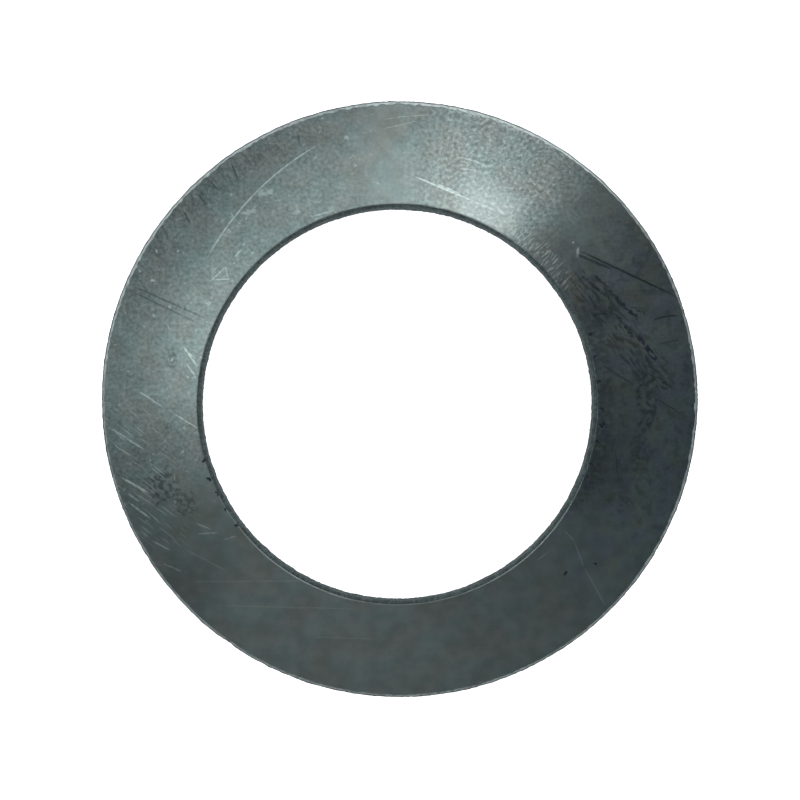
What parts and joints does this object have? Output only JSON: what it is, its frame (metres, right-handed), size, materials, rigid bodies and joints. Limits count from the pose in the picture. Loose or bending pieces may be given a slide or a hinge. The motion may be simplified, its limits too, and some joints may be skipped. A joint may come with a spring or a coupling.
{
  "type": "flat washer",
  "caption": "Thick stamped steel flat washer with a large bore, a sheared rim and bore wall, and a scratched dull finish.",
  "frame": {"origin": "centre of the bore, in the plane of the lower face", "axes": "+Z along the bore's axis, from the lower face to the upper face, where the bore's edge is rolled and the rim's edge is torn"},
  "size_m": [0.0571, 0.0572, 0.0034],
  "materials": {
    "steel": "plain uncoated cold-finished steel, dull, oily and scratched"
  },
  "bodies": {
    "root": {"washer": "steel"}
  },
  "joints": []
}
